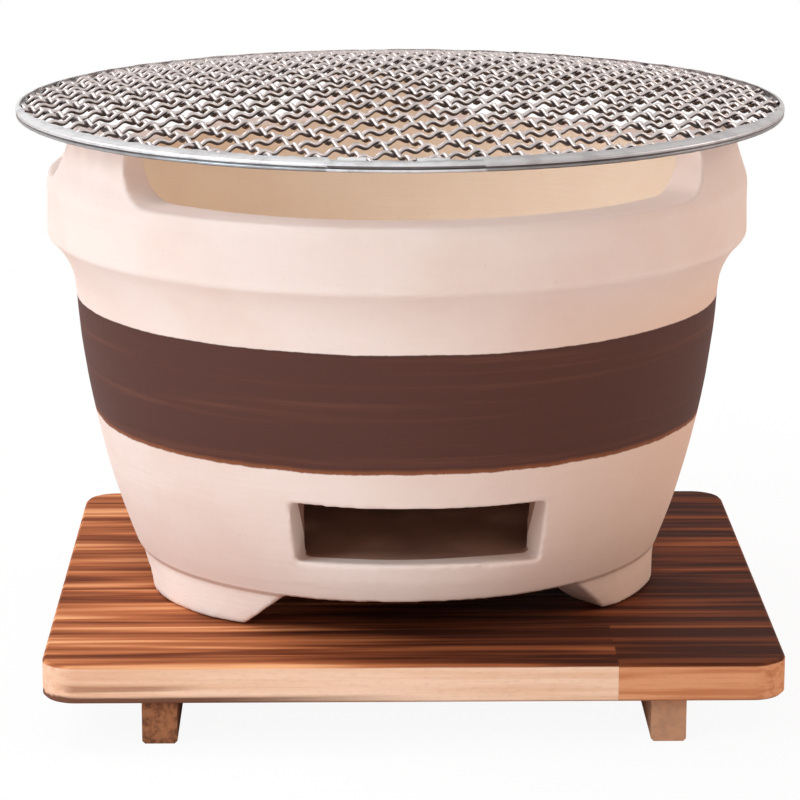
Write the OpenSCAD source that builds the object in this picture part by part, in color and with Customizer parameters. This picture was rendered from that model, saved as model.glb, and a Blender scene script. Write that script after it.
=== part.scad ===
// Table-top charcoal brazier: a thick clay bowl on a battened board, with a woven wire net on its rim.
// The origin is on the bowl's axis, level with the undersides of the battens. +Z is up, -Y is the front.

/* [Board] */
// Width of the board, left to right
board_w = 211; // [200:1:250]
// Depth of the board, front to back
board_d = 188; // [180:1:230]
// Thickness of the board
board_t = 11; // [9:0.5:16]
// Radius of the board's corners
board_corner_r = 10; // [4:1:16]
// Width of the eased edges on all the wood
wood_ease = 0.8; // [0.4:0.1:1.5]
// Length of the short piece at the right end of the front stave
front_short_l = 48; // [35:1:55]
// Step by which the end joints of the other staves move along
joint_step = 28; // [20:1:32]
// How far the middle of the board lies to the right of the bowl's axis
board_shift_x = 3.5; // [-6:0.5:6]
// How far the middle of the board lies in front of the bowl's axis
board_shift_y = 9; // [0:0.5:12]

/* [Battens] */
// Width of a batten
batten_w = 10; // [9:0.5:16]
// Height of a batten
batten_h = 13.5; // [11:0.5:20]
// Distance between the middles of the two battens
batten_pitch = 144.6; // [120:0.2:160]
// Distance from the board's front and back edges to the batten ends
batten_inset = 5; // [3:0.5:12]
// Diameter of a batten screw's shank
screw_d = 3; // [2.5:0.1:3.5]
// Diameter of a batten screw's countersunk head
screw_head_d = 6; // [5.5:0.1:7]
// Length of a batten screw that bites into the board
screw_bite = 6.5; // [5:0.5:7.5]
// Distance from the middle screw of a batten to the outer ones
screw_pitch = 70; // [60:1:78]

/* [Clay bowl] */
// How far the bowl is turned on its board, seen from above
bowl_turn = 4; // [0:0.5:10]
// Height of the three feet
foot_h = 11.3; // [8:0.1:16]
// Inner radius of the feet
foot_inner_r = 58; // [52:1:64]
// How far the feet are set back from the bowl's bottom edge
foot_setback = 0.7; // [0.3:0.1:2]
// How much narrower the ring of feet is at the board than at the bowl
foot_taper = 3; // [1:0.1:5]
// Half the angle that a foot covers at its top
foot_half_angle = 28; // [22:1:32]
// How far the ends of a foot slant in from top to bottom
foot_end_slant = 12; // [6:0.5:16]
// Outer radius of the bowl's bottom edge
base_r = 80.3; // [78:0.1:84]
// Radius of the belly's long curve
belly_curve_r = 255; // [220:5:400]
// Outer radius of the rim at its widest
rim_r = 105.4; // [104.5:0.1:107]
// How far the neck stands in from the rim
neck_inset = 8.3; // [7:0.1:10]
// Height of the neck above the board
neck_z = 89.5; // [86:0.5:92]
// Radius of the hollow under the rim
neck_fillet_r = 24; // [20:1:28]
// Radius that rounds the rim's lower edge
shoulder_r = 1.2; // [0.8:0.1:3]
// Height of the widest part's upper edge above the board
rim_break_z = 122.3; // [118:0.1:126]
// How far the rim leans in from its widest part to its top
lip_inset = 5.2; // [4:0.1:7]
// Height of the top of the rim above the board
lip_z = 142.8; // [138:0.1:148]
// Thickness of the wall at the top of the rim
lip_w = 8.2; // [7:0.1:10]
// Radius of the soft edges of the clay
clay_edge_r = 1.6; // [1:0.1:2]
// Thickness of the floor under the ash chamber
floor_t = 10.7; // [9:0.1:12]
// Thickness of the wall round the ash chamber's floor
ash_wall_t = 8.3; // [7:0.1:10]
// Height of the ledge that carries the grate, above the board
ledge_z = 48; // [47:0.5:52]
// Radius of the hole inside the ledge
throat_r = 66; // [62:0.5:68]
// Radius of the fire bowl's curved wall
fire_curve_r = 190; // [180:5:300]

/* [Rim notches] */
// Height of the notch floors above the board
notch_z = 125; // [122:0.5:130]
// Half the angle of the front notch at the outside
front_notch_half = 53.7; // [45:0.1:56]
// Angle from the front to the middle of a side notch
side_notch_dir = 124.3; // [122:0.1:127]
// Half the angle of a side notch at the outside
side_notch_half = 46.3; // [40:0.1:47]
// Angle by which a notch is wider at the inside of the rim
notch_flare = 2.6; // [0:0.1:4]
// Radius of the notches' lower corners
notch_corner_r = 12; // [6:0.5:14]

/* [Air window] */
// Width of the air window at the outside
window_w = 72; // [60:1:78]
// Height of the air window
window_h = 20; // [16:0.5:21]
// Angle by which each side of the window narrows inwards
window_splay = 19; // [0:1:25]

/* [Grate] */
// Thickness of the grate plate
grate_t = 8; // [6:0.5:9]
// Gap between the grate plate and the wall round it
grate_gap = 0.7; // [0.5:0.1:1.5]
// Diameter of a hole in the grate
grate_hole_d = 10; // [8:0.5:12]
// Distance from one ring of grate holes to the next
grate_ring_step = 26; // [24:0.5:27]

/* [Net] */
// Outer diameter of the net
net_d = 230; // [226:1:240]
// Distance from wire to wire
mesh = 10; // [9.5:0.1:14]
// Diameter of a wire
wire_d = 1.2; // [1:0.1:1.4]
// Gap between two wires where they cross
wire_gap = 0.12; // [0.1:0.01:0.3]
// How far the net rises in the middle
net_crown = 10; // [4:0.5:14]
// Direction of the first set of wires, from +X
net_turn = 30; // [0:1:45]
// Shift of the first set of wires across itself
warp_shift = -2.8; // [-5:0.1:5]
// Shift of the second set of wires across itself
weft_shift = -3.7; // [-5:0.1:5]
// How far the net's middle lies to the right of the bowl's axis
net_shift_x = 0.9; // [-2:0.1:2]
// Width of the net's flat border, with its rim strip
border_w = 6.4; // [5.5:0.1:8]
// Width of the folded rim strip, seen from above
strip_w = 3; // [2.5:0.1:5]
// Thickness of the rim strip's sheet metal
strip_t = 0.35; // [0.3:0.05:0.5]
// Start and length of the first bent tab, along the rim from the front
tab_1 = [-24, 14]; // [-35:0.5:15]
// Start and length of the second bent tab, along the rim from the front
tab_2 = [3, 11]; // [0:0.5:15]
// Start and length of the lapped strip end, along the rim from the front
lap_end = [17, 25]; // [15:0.5:35]

/* [Hidden] */
$fn = 96;
// Rest gap between pieces that lift apart
rest_gap = 0.2;
// Length by which a cutting tool reaches past what it cuts
over = 1;

// Board
stave_rows = 5;
stave_d = board_d / stave_rows;
board_top_z = batten_h + board_t;
batten_l = board_d - 2 * batten_inset;
screw_l = batten_h + screw_bite;
// Thickness of the glue in a stave's end joint
glue_line = 0.05;
// Clearance all round a screw
screw_gap = 0.1;
screw_tip_l = 3;
// Depth of the cross recess in a screw head, and the width and half length of its arms
recess_depth = 1.2;
recess_w = 0.8;
recess_reach = 1.6;

// Bowl, with heights measured from the bottom of its feet
bowl_z = board_top_z + rest_gap;
foot_dirs = [-60, 66, 182];
floor_z = foot_h + floor_t;
ash_r = base_r - ash_wall_t;
ash_top_r = ash_r + 2;
// Height of the sloping underside of the ledge, and the ledge's thickness at its inner edge
ledge_slope_h = 4;
ledge_t = 4;
ledge_w = 6;
grate_seat_r = throat_r + ledge_w;
fire_low_z = ledge_z + grate_t + 1;
grate_r = grate_seat_r - grate_gap;

neck_r = rim_r - neck_inset;
lip_r = rim_r - lip_inset;
mouth_r = lip_r - lip_w;

// Belly: the long curve from the bottom edge to the neck
belly_chord = norm([neck_r - base_r, neck_z - foot_h]);
belly_chord_lean = atan2(neck_r - base_r, neck_z - foot_h);
belly_half_turn = asin(belly_chord / 2 / belly_curve_r);
belly_low_lean = belly_chord_lean + belly_half_turn;
neck_lean = belly_chord_lean - belly_half_turn;
// Lean of the hollow under the rim where it meets the rim's rounded lower edge
flare_lean = acos((neck_fillet_r * cos(neck_lean) + shoulder_r - neck_inset) / (neck_fillet_r + shoulder_r));

// Fire bowl: the curve from the grate to the mouth
fire_chord = norm([mouth_r - grate_seat_r, lip_z - fire_low_z]);
fire_chord_lean = atan2(mouth_r - grate_seat_r, lip_z - fire_low_z);
fire_half_turn = asin(fire_chord / 2 / fire_curve_r);

// Net, with heights measured from the middle plane of its rim
wire_lift = (wire_d + wire_gap) / 2;
// Gap between a wire end and the sheet that grips it
grip_gap = 0.09;
strip_inner_h = 2 * (wire_lift + wire_d / 2 + grip_gap);
strip_h = strip_inner_h + 2 * strip_t;
net_r = net_d / 2;
grip_r = net_r - strip_w;
crown_r = net_r - border_w;
wire_end_r = net_r - strip_t - strip_inner_h / 2;
// Crossings nearer to the rim's mouth than this keep the order in which the rim grips the wires
edge_zone = 3;
// Least distance from a bend in a wire to the rim's mouth
least_step = 0.6;
// How far a bent tab reaches in past the strip
tab_reach = 2.4;
net_z = bowl_z + lip_z + rest_gap + wire_lift + wire_d / 2 - crown_at(lip_r);

// ---- Curves and outlines -------------------------------------------------------------------------

// Points on a curve of radius r that starts at p. A lean is an angle outwards from upright, and the
// curve turns outwards where r is above 0 and inwards where it is below 0.
function bend_point(p, r, from, to) = p + r * [cos(from) - cos(to), sin(to) - sin(from)];
function bend(p, r, from, to, steps) =
    [for (i = [0:steps]) bend_point(p, r, from, from + (to - from) * i / steps)];

// Points on an arc with centre c, from one angle to another
function arc(c, r, from, to, steps = 4) =
    [for (i = [0:steps]) let (a = from + (to - from) * i / steps) c + r * [cos(a), sin(a)]];

// Height of the net's middle surface above the middle plane of its rim, at radius r
function crown_at(r) = r < crown_r ? net_crown * (1 - pow(r / crown_r, 2)) : 0;

// A rectangle centred on the origin with its corners cut by the wood's easing
module eased_rectangle(wide, high) {
    x = wide / 2;
    y = high / 2;
    e = wood_ease;
    polygon([[-x + e, -y], [x - e, -y], [x, -y + e], [x, y - e],
             [x - e, y], [-x + e, y], [-x, y - e], [-x, -y + e]]);
}

// ---- Board ---------------------------------------------------------------------------------------

// The whole board before it is divided: two crossed bars and four round corners, all with eased edges
module board_blank() {
    corner_x = board_w / 2 - board_corner_r;
    corner_y = board_d / 2 - board_corner_r;
    translate([0, 0, board_t / 2]) {
        rotate([90, 0, 90]) linear_extrude(2 * corner_x, center = true) eased_rectangle(board_d, board_t);
        rotate([90, 0, 0]) linear_extrude(2 * corner_y, center = true) eased_rectangle(board_w, board_t);
        for (x = [-corner_x, corner_x], y = [-corner_y, corner_y])
            translate([x, y, 0]) rotate_extrude() intersection() {
                eased_rectangle(2 * board_corner_r, board_t);
                translate([0, -board_t]) square([2 * board_corner_r, 2 * board_t]);
            }
    }
}

// Length of a stave row's right-hand piece: the joints step by two places at a time through the rows
function right_piece_l(row) = front_short_l + joint_step * ((2 * row) % stave_rows);

// One piece of a stave row, to the left or to the right of the row's end joint
module stave_piece(row, right) {
    joint_x = board_w / 2 - right_piece_l(row);
    low_x = right ? joint_x + glue_line / 2 : -board_w / 2 - over;
    high_x = right ? board_w / 2 + over : joint_x - glue_line / 2;
    low_y = row == 0 ? -board_d / 2 - over : -board_d / 2 + row * stave_d;
    high_y = row == stave_rows - 1 ? board_d / 2 + over : -board_d / 2 + (row + 1) * stave_d;
    translate([board_shift_x, -board_shift_y, batten_h]) difference() {
        intersection() {
            board_blank();
            translate([low_x, low_y, -over]) cube([high_x - low_x, high_y - low_y, board_t + 2 * over]);
        }
        screw_places() translate([0, 0, -over])
            cylinder(h = over + screw_bite + screw_gap, r = screw_d / 2 + screw_gap, $fn = 32);
    }
}

// Puts its children at every screw, at the height of the board's underside
module screw_places() {
    for (x = [-batten_pitch / 2, batten_pitch / 2], y = [-screw_pitch, 0, screw_pitch])
        translate([x, y, 0]) children();
}

module stave_row(row) {
    stave_piece(row, false);
    stave_piece(row, true);
}

module board_front_stave_long() color("#e3bd96") stave_piece(0, false);
module board_front_stave_short() color("#c07a48") stave_piece(0, true);
module board_stave_2() color("#8a5230") stave_row(1);
module board_stave_3() color("#6f3f24") stave_row(2);
module board_stave_4() color("#8a5230") stave_row(3);
module board_back_stave() color("#7a4628") stave_row(4);

// ---- Battens and their screws --------------------------------------------------------------------

// A wood screw that points up from the origin, with a countersunk head and a pointed tip
module wood_screw() {
    shank_r = screw_d / 2;
    head_r = screw_head_d / 2;
    rotate_extrude($fn = 32)
        polygon([[0, 0], [head_r, 0], [shank_r, head_r - shank_r],
                 [shank_r, screw_l - screw_tip_l], [0, screw_l]]);
}

module batten(side) {
    color("#8f5431") translate([board_shift_x + side * batten_pitch / 2, -board_shift_y, 0]) difference() {
        translate([0, 0, batten_h / 2]) rotate([90, 0, 0])
            linear_extrude(batten_l, center = true) eased_rectangle(batten_w, batten_h);
        for (y = [-screw_pitch, 0, screw_pitch])
            translate([0, y, 0]) batten_hole();
    }
}

// Countersunk hole through a batten
module batten_hole() {
    shank_r = screw_d / 2 + screw_gap;
    head_r = screw_head_d / 2 + screw_gap;
    rotate_extrude($fn = 32)
        polygon([[0, -over], [head_r, -over], [head_r, 0], [shank_r, head_r - shank_r],
                 [shank_r, batten_h + over], [0, batten_h + over]]);
}

module left_batten() batten(-1);
module right_batten() batten(1);

module batten_screws() {
    color("#b9bcc0") translate([board_shift_x, -board_shift_y, 0]) screw_places() difference() {
        wood_screw();
        for (turn = [0, 90])
            rotate(turn) translate([-recess_reach, -recess_w / 2, -over])
                cube([2 * recess_reach, recess_w, recess_depth + over]);
    }
}

// ---- Clay bowl -----------------------------------------------------------------------------------

// Outer side of the bowl from its bottom edge to the top of the rim
function outer_side() =
    let (belly = bend([base_r, foot_h], -belly_curve_r, belly_low_lean, neck_lean, 12),
         hollow = bend([neck_r, neck_z], neck_fillet_r, neck_lean, flare_lean, 8),
         shoulder = bend(hollow[8], -shoulder_r, flare_lean, 0, 3))
    concat(belly, [for (i = [1:8]) hollow[i]], [for (i = [1:3]) shoulder[i]], [[rim_r, rim_break_z]]);

// Rounded top of the rim, from its outer side to its inner side
function lip_top() =
    let (e = clay_edge_r)
    concat(arc([lip_r - e, lip_z - e], e, 15, 90), arc([mouth_r + e, lip_z - e], e, 90, 180));

// Inner side from the mouth down to the middle of the floor
function inner_side() =
    let (fire = bend([grate_seat_r, fire_low_z], -fire_curve_r,
                     fire_chord_lean + fire_half_turn, fire_chord_lean - fire_half_turn, 10))
    concat([for (i = [9:-1:0]) fire[i]],
           [[grate_seat_r, ledge_z], [throat_r, ledge_z], [throat_r, ledge_z - ledge_t],
            [ash_top_r, ledge_z - ledge_t - ledge_slope_h]],
           arc([ash_r - clay_edge_r, floor_z + clay_edge_r], clay_edge_r, 0, -90), [[0, floor_z]]);

module bowl_outline() polygon(concat([[0, foot_h]], outer_side(), lip_top(), inner_side()));

// One foot: a piece of a tapered ring whose two ends slant in towards the board. Its sides keep their slant
// as they run up into the bowl.
module foot() {
    foot_top_r = base_r - foot_setback;
    top_half = foot_top_r * sin(foot_half_angle);
    bottom_half = foot_top_r * sin(foot_half_angle - foot_end_slant);
    run_up = over / foot_h;
    intersection() {
        rotate_extrude() polygon([[foot_inner_r, foot_h + over], [foot_inner_r, clay_edge_r],
                                  [foot_inner_r + clay_edge_r, 0], [foot_top_r - foot_taper - clay_edge_r, 0],
                                  [foot_top_r - foot_taper * (1 - clay_edge_r / foot_h), clay_edge_r],
                                  [foot_top_r + foot_taper * run_up, foot_h + over]]);
        rotate([90, 0, 0]) linear_extrude(base_r + over)
            polygon([[-bottom_half, 0], [bottom_half, 0],
                     [top_half + (top_half - bottom_half) * run_up, foot_h + over],
                     [-top_half - (top_half - bottom_half) * run_up, foot_h + over]]);
    }
}

// Tool for a notch that faces -Y: a flat floor, sides that open inwards, and round lower corners. Each
// half is a rounded outline that runs along its side of the notch and reaches past the notch's middle.
module notch_tool(half_angle) {
    outer = rim_r * [sin(half_angle), -cos(half_angle)];
    inner = mouth_r * [sin(half_angle + notch_flare), -cos(half_angle + notch_flare)];
    // Unit vectors: along the notch's right side towards the bowl's middle, and from that side into the notch
    along = (inner - outer) / norm(inner - outer);
    inward = [-along[1], along[0]];
    start = outer - rim_r * along;
    reach = ([0, -rim_r] - outer) * inward + over;
    for (flip = [0, 1])
        mirror([flip, 0, 0]) translate([start[0], start[1], notch_z])
            rotate([90, 0, atan2(inward[1], inward[0])])
                linear_extrude(rim_r + norm(inner - outer) + mouth_r / 3)
                    polygon(concat([[0, lip_z]], arc(notch_corner_r * [1, 1], notch_corner_r, 180, 270, 8),
                                   [[reach, 0], [reach, lip_z]]));
}

// Tool for the air window, which narrows inwards
module window_tool() {
    outer_y = -rim_r;
    inner_y = -ash_r / 2;
    // The width is measured where the bowl's wall stands at the height of the window's floor
    gauge_y = -base_r;
    outer_half = window_w / 2 + (gauge_y - outer_y) * tan(window_splay);
    inner_half = window_w / 2 - (inner_y - gauge_y) * tan(window_splay);
    translate([0, 0, floor_z]) linear_extrude(window_h)
        polygon([[-outer_half, outer_y], [outer_half, outer_y], [inner_half, inner_y], [-inner_half, inner_y]]);
}

module clay_bowl() {
    color("#f1ddd2") translate([0, 0, bowl_z]) rotate(bowl_turn) difference() {
        union() {
            rotate_extrude() bowl_outline();
            for (dir = foot_dirs) rotate(dir) foot();
        }
        window_tool();
        notch_tool(front_notch_half);
        for (side = [-1, 1]) rotate(side * side_notch_dir) notch_tool(side_notch_half);
    }
}

// ---- Grate ---------------------------------------------------------------------------------------

module grate_plate() {
    e = clay_edge_r / 2;
    color("#d8b79c") translate([0, 0, bowl_z + ledge_z + rest_gap]) rotate(bowl_turn) difference() {
        rotate_extrude() polygon([[0, 0], [grate_r - e, 0], [grate_r, e], [grate_r, grate_t - e],
                                  [grate_r - e, grate_t], [0, grate_t]]);
        for (ring = [0:2], i = [0:max(0, 6 * ring - 1)])
            rotate(ring == 0 ? 0 : 60 * i / ring) translate([ring * grate_ring_step, 0, -over])
                cylinder(h = grate_t + 2 * over, r = grate_hole_d / 2, $fn = 48);
    }
}

// ---- Net -----------------------------------------------------------------------------------------

// Points [along, height] of wire number k, which lies at distance s from the net's middle. The crossing
// wires lie at (j + 1/2) * mesh + other_shift. The wire passes over where j + k is even, and its ends
// are gripped high where grip is 1 and low where it is -1.
function wire_path(s, k, other_shift, grip) =
    let (mouth = sqrt(pow(grip_r, 2) - s * s),
         end = sqrt(pow(wire_end_r, 2) - s * s),
         count = ceil(mouth / mesh) + 1,
         bends = [for (j = [-count:count])
                      let (t = (j + 0.5) * mesh + other_shift, r = norm([s, t]))
                      if (abs(t) < mouth - least_step)
                          [t, crown_at(r) + wire_lift * (r > grip_r - edge_zone ? grip : over_or_under(j + k))]])
    concat([[-end, grip * wire_lift], [-mouth, grip * wire_lift]], bends,
           [[mouth, grip * wire_lift], [end, grip * wire_lift]]);

function over_or_under(sum) = sum % 2 == 0 ? 1 : -1;

// A four-sided wire along X through the points [x, z]
module wire(points) {
    last = len(points) - 1;
    ring = wire_d / 2 * [[1, 0], [0, 1], [-1, 0], [0, -1]];
    polyhedron(
        points = [for (p = points, q = ring) [p[0], q[0], p[1] + q[1]]],
        faces = concat([[3, 2, 1, 0], [for (q = [0:3]) 4 * last + q]],
                       [for (i = [0:last - 1], q = [0:3])
                            [4 * i + q, 4 * i + (q + 1) % 4, 4 * i + 4 + (q + 1) % 4, 4 * i + 4 + q]]));
}

// One set of wires along X, one solid for each wire
module wire_set(shift, other_shift, grip) {
    count = ceil(grip_r / mesh) + 1;
    for (k = [-count:count]) {
        s = (k + 0.5) * mesh + shift;
        if (abs(s) < grip_r - edge_zone)
            translate([0, s, 0]) wire(wire_path(s, k, other_shift, grip));
    }
}

module net_warp_wires()
    color("#c9cacd") translate([net_shift_x, 0, net_z]) rotate(net_turn) wire_set(warp_shift, -weft_shift, 1);

module net_weft_wires()
    color("#b8b9bd") translate([net_shift_x, 0, net_z]) rotate(net_turn + 90) wire_set(weft_shift, warp_shift, -1);

// Half section of a round fold that is open towards the net's middle
module fold_section(height, outer_r, inner_r) {
    intersection() {
        union() {
            translate([outer_r - height / 2, 0]) circle(d = height, $fn = 32);
            translate([inner_r, -height / 2]) square([outer_r - height / 2 - inner_r, height]);
        }
        translate([inner_r, -height]) square([outer_r - inner_r, 2 * height]);
    }
}

module net_rim() {
    color("#d3d4d7") translate([net_shift_x, 0, net_z]) rotate_extrude($fn = 180) difference() {
        fold_section(strip_h, net_r, grip_r);
        fold_section(strip_inner_h, net_r - strip_t, grip_r - over);
    }
}

// Angle that a length along the net's outer edge takes up
function turn_along_rim(length) = length / net_r * 180 / PI;

// The rim strip's ends: two tabs bent over the net and the lapped end, lying on the strip
module net_rim_lap() {
    for (span = [tab_1, tab_2, lap_end])
        color("#e2e3e5") translate([net_shift_x, 0, net_z + strip_h / 2]) rotate(turn_along_rim(span[0]) - 90)
            rotate_extrude(angle = turn_along_rim(span[1]), $fn = 180)
                translate([grip_r - tab_reach, 0]) square([net_r - strip_h / 2 - grip_r + tab_reach, strip_t]);
}

// ---- The whole brazier ---------------------------------------------------------------------------

board_front_stave_long();
board_front_stave_short();
board_stave_2();
board_stave_3();
board_stave_4();
board_back_stave();
left_batten();
right_batten();
batten_screws();
clay_bowl();
grate_plate();
net_warp_wires();
net_weft_wires();
net_rim();
net_rim_lap();
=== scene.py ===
"""A small charcoal brazier: a thick clay bowl with a painted band, a woven wire net and a battened board."""
import math

import bmesh
import bpy
import numpy as np
from bpy.props import FloatProperty, FloatVectorProperty, IntProperty, PointerProperty
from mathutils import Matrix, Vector, noise


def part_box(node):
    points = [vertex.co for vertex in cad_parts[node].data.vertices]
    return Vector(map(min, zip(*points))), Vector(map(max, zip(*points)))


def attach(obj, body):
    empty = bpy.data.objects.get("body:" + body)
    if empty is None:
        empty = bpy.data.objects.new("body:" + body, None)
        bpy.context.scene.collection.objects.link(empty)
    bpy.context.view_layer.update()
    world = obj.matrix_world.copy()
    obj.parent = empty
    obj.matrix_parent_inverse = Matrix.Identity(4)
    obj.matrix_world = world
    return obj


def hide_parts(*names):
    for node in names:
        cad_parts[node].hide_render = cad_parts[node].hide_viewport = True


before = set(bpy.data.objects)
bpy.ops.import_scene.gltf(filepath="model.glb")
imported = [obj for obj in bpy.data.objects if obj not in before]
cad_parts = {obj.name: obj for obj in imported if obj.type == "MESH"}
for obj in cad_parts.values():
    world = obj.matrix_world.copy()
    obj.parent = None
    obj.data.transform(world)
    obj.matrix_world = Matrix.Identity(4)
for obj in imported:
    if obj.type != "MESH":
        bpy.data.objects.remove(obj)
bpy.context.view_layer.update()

bl_info = {
    "name": "Charcoal Brazier",
    "version": (1, 0, 0),
    "blender": (4, 5, 0),
    "location": "View3D > Sidebar > Brazier",
    "description": "Dresses the brazier's frame with fired clay, brushed slip, woven wire and scorched wood",
    "category": "Add Mesh",
}

MM = 0.001

# Heights and radii that the frame gives
BOWL_LOW, BOWL_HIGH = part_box("clay_bowl")
RIM_LOW, RIM_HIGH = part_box("net_rim")
BOARD_LOW, BOARD_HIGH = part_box("board_stave_2")
GRATE_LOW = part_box("grate_plate")[0]
NET_Z = (RIM_LOW.z + RIM_HIGH.z) / 2
NET_X = (RIM_LOW.x + RIM_HIGH.x) / 2
NET_R = (RIM_HIGH.x - RIM_LOW.x) / 2
RIM_H = RIM_HIGH.z - RIM_LOW.z

# How far the bowl is turned on its board
BOWL_TURN = math.radians(4)
# The frame's air window in millimetres: half its width, and its sill and top above the bowl's underside
WINDOW_HALF = 36
WINDOW_SILL = 22
WINDOW_TOP = 42
# The feet: their height in millimetres, and their directions in degrees from the front
FOOT_HIGH = 11.3
LEFT_FOOT, RIGHT_FOOT, BACK_FOOT = -60, 66, 182
# A height just below the rim's notches, in millimetres above the bowl's underside
BELOW_NOTCHES = 118

# The net, in millimetres: the thickness of the rim strip's sheet metal, and where along the rim from the front
# its upper fold starts and stops being missing
SHEET = 0.4
FOLD_MISSING = (-21.4, 22)
# The strip's tabs and its lapped end, in millimetres: the start along the rim from the front, the length, how far
# it reaches in over the net and how much it rises there
TABS = ((-19.6, 8.6, 2.9, 0.6), (2.8, 9.6, 2.9, 0.65), (17.5, 24, 2.8, 0.45))

# The camera's place was worked out from the ellipses of the net, the band and the board
CAMERA_PLACE = (-14.7 * MM, -1015.5 * MM, 321.1 * MM)
CAMERA_TURN = (math.radians(76.46), 0.0, math.radians(-0.88))
CAMERA_LENS = 153.1
# Each lamp's name, its place and diameter in metres, its watts and its colour
LAMPS = (("key", (-1.05, -0.80, 0.85), 0.9, 12.5, (0.69, 0.88, 1.0)),
         ("front", (-0.15, -1.6, 0.55), 1.2, 1.2, (1.0, 0.95, 0.92)),
         ("fill", (1.35, 0.15, 0.65), 0.9, 4.3, (1.0, 0.92, 0.86)),
         ("top", (-0.80, 0.25, 1.25), 0.6, 7.6, (0.96, 0.88, 0.91)))
LAMPS_AIM = (0, 0, 90 * MM)
SKY = (1.0, 0.85, 0.775)
SKY_STRENGTH = 0.59
WHITE = (1.0, 1.0, 1.0)
FLOOR_HALF = 3.0


def linear(red, green, blue):
    """A colour given as it looks on a screen, 0 to 255, as the linear colour that the nodes take."""
    def one(value):
        share = value / 255
        return share / 12.92 if share <= 0.04045 else ((share + 0.055) / 1.055) ** 2.4
    return (one(red), one(green), one(blue))


def millimetres(name, description, default, low, high):
    return FloatProperty(name=name, description=description, default=default * MM, min=low * MM, max=high * MM,
                         subtype="DISTANCE", unit="LENGTH")


def colour(name, description, red, green, blue):
    return FloatVectorProperty(name=name, description=description, default=linear(red, green, blue),
                               subtype="COLOR", size=3, min=0.0, max=1.0)


# ---- Sizes and colours that a user would change ------------------------------------------------------

class ClaySettings(bpy.types.PropertyGroup):
    """The fired clay and the slip brushed round it."""
    grain: millimetres("Surface grid", "Spacing of the faces from which the clay's skin is made", 0.9, 0.8, 3)
    faces: IntProperty(name="Faces", description="Most triangles that the clay's skin keeps",
                       default=185000, min=20000, max=195000)
    softness: IntProperty(name="Softness", description="Rounds of smoothing that soften the clay's edges",
                          default=2, min=0, max=30)
    unevenness: millimetres("Unevenness", "How far the hand-finished skin strays from true", 0.3, 0, 1.5)
    band_low: millimetres("Band's lower edge", "Height of the band's lower edge above the board", 52.4, 30, 70)
    band_high: millimetres("Band's upper edge", "Height of the band's upper edge above the board", 87.9, 75, 95)
    clay: colour("Clay", "The clay's outside", 235, 215, 205)
    clay_warm: colour("Warm clay", "Warmer patches of the clay", 229, 201, 187)
    # The fire wall's colour is painted lighter than the clay is, for light
    inside_clay_lightened: colour("Fire wall", "The clay inside the fire bowl", 255, 235, 212)
    # The soot colour is partly painted shade: the ash chamber is darker than its stains alone make it
    soot: colour("Soot", "The ash chamber's stained wall", 138, 100, 84)
    band: colour("Slip", "The brushed band", 84, 51, 43)
    band_light: colour("Thin slip", "Strokes where the slip lies thin", 116, 72, 58)
    band_edge: colour("Slip's edge", "The runny lower edge of the slip", 140, 82, 52)


class WoodSettings(bpy.types.PropertyGroup):
    """The scorched and brushed wood of the board."""
    board_orange: colour("Scorched orange", "The board's top where it is scorched least", 186, 112, 70)
    board_brown: colour("Scorched brown", "The board's top where it is scorched most", 120, 62, 36)
    board_light: colour("Bare light", "The lightest streaks, where the brush took the scorch off", 240, 176, 126)
    board_char: colour("Char", "The charred lines of the grain", 62, 28, 17)
    pale: colour("Pale wood", "The bare front edge of the board", 245, 207, 179)
    pale_line: colour("Pale wood's grain", "The grain of the bare front edge", 230, 182, 148)
    orange: colour("Orange wood", "The short piece at the front edge's right end", 222, 156, 114)
    orange_line: colour("Orange wood's grain", "The grain of the short piece", 186, 112, 72)
    batten: colour("Batten", "The battens' stained wood", 168, 108, 72)
    batten_dark: colour("Dark batten", "Dark mottling of the battens", 92, 52, 32)


class NetSettings(bpy.types.PropertyGroup):
    """The woven net and its folded rim."""
    mesh: millimetres("Mesh", "Distance from wire to wire", 10, 6, 20)
    wire: millimetres("Wire", "Diameter of a wire", 1.45, 0.6, 2.5)
    crimp: millimetres("Crimp", "How far a wire swings up and down", 0.62, 0, 2)
    waves: IntProperty(name="Waves", description="Half waves of a wire from crossing to crossing, an odd number",
                       default=3, min=1, max=7)
    crown: millimetres("Crown", "How far the net rises in the middle", 9.2, 0, 20)
    strip: millimetres("Rim strip", "Width of the folded rim strip", 4.3, 2, 12)
    turn: FloatProperty(name="Turn", description="Direction of the first set of wires",
                        default=math.radians(29), subtype="ANGLE", unit="ROTATION")
    warp_shift: millimetres("First shift", "Shift of the first set of wires across itself", -0.9, -10, 10)
    weft_shift: millimetres("Second shift", "Shift of the second set of wires across itself", -4.0, -10, 10)
    wire_metal: colour("Wire metal", "The wires' bare metal", 205, 194, 190)
    strip_metal: colour("Strip metal", "The rim strip's bare metal", 226, 225, 226)


# ---- Node trees --------------------------------------------------------------------------------------

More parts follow.
